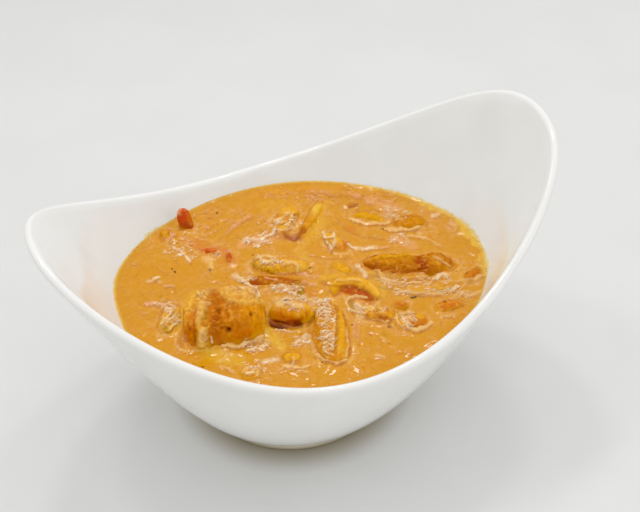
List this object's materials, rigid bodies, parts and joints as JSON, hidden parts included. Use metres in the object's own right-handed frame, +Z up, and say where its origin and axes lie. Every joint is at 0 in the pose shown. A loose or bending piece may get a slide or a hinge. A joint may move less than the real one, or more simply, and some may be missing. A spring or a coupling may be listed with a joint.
{
  "type": "bowl of lamb and onion curry",
  "caption": "White saddle-rimmed serving bowl with two raised pointed ends, filled with creamy orange curry in which chunks of lamb, onion and pepper show.",
  "frame": {"origin": "middle of the whole object's outer box, on the surface that the foot ring stands on", "axes": "+X along the bowl towards its higher tip, +Z up, -Y towards the low front side"},
  "size_m": [0.2275, 0.1548, 0.127],
  "materials": {
    "porcelain": "glossy white glaze, very slightly warm",
    "sauce": "wet, creamy orange curry sauce with oily patches",
    "lamb": "browned fibrous meat coated with sauce",
    "onion": "soft cooked onion, glossy and stained by the sauce",
    "yellow_pepper": "cooked yellow pepper with a smooth glossy skin",
    "red_pepper": "cooked red pepper with a smooth glossy skin",
    "tomato": "cooked tomato, soft and wet",
    "green_pepper": "olive cooked green pepper"
  },
  "bodies": {
    "root": {"bowl": "porcelain", "sauce": "sauce", "lamb_front": "lamb", "lamb_right": "lamb", "lamb_centre": "lamb", "lamb_back": "lamb", "lamb_sliver": "lamb", "lamb_rear_left": "lamb", "lamb_rear_right": "lamb", "onion_strip_front": "onion", "onion_rear": "onion", "onion_fold": "onion", "onion_right_long": "onion", "onion_right_round": "onion", "onion_right_small": "onion", "onion_front_small": "onion", "onion_front_flat": "onion", "onion_left": "onion", "onion_edge": "onion", "onion_petal": "onion", "yellow_pepper_rear": "yellow_pepper", "yellow_pepper_small": "yellow_pepper", "red_pepper_rear": "red_pepper", "red_pepper_left": "red_pepper", "red_pepper_middle": "red_pepper", "tomato_right": "tomato", "tomato_edge": "tomato", "green_pepper_bit": "green_pepper"}
  },
  "joints": []
}
